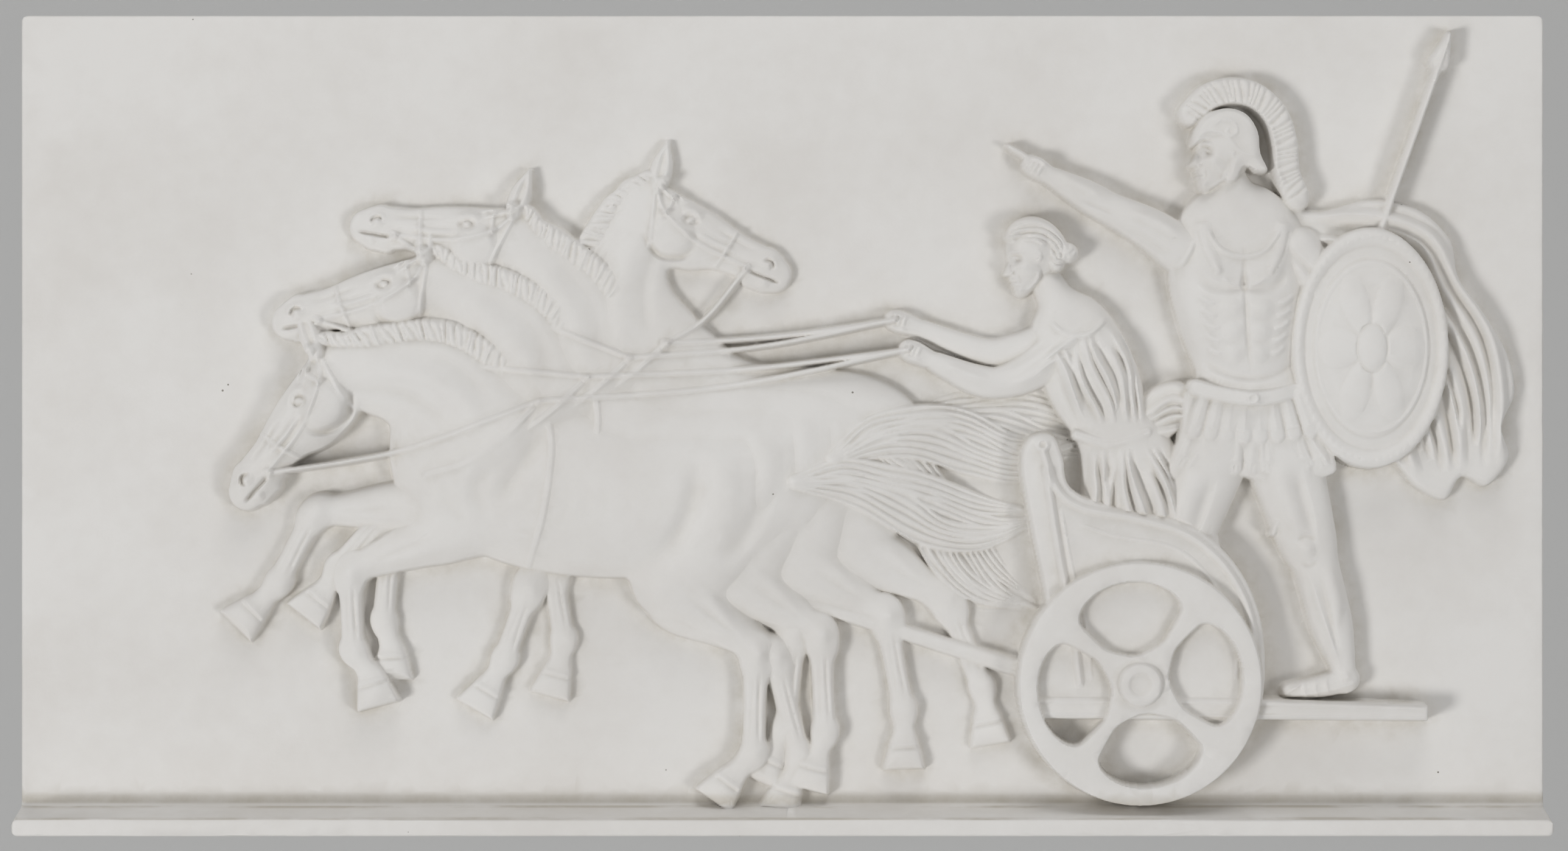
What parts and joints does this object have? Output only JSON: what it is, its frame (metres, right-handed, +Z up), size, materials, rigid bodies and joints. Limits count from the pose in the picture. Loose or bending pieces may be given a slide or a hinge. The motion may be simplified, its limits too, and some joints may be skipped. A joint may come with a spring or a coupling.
{
  "type": "plaster wall relief",
  "caption": "Oblong plaster relief cast in one piece: a galloping chariot team with driver and spearman on a slab with a projecting ledge at its foot, for fixing to a wall.",
  "frame": {"origin": "middle of the flat back face", "axes": "+Z up the wall, +X along the slab to the right as seen from the front, the front faces -Y and the back +Y"},
  "size_m": [1.092, 0.07, 0.585],
  "materials": {
    "plaster": "matt unpainted cast plaster, warm white, with faint stains and pinholes"
  },
  "bodies": {
    "root": {"relief": "plaster"}
  },
  "joints": []
}
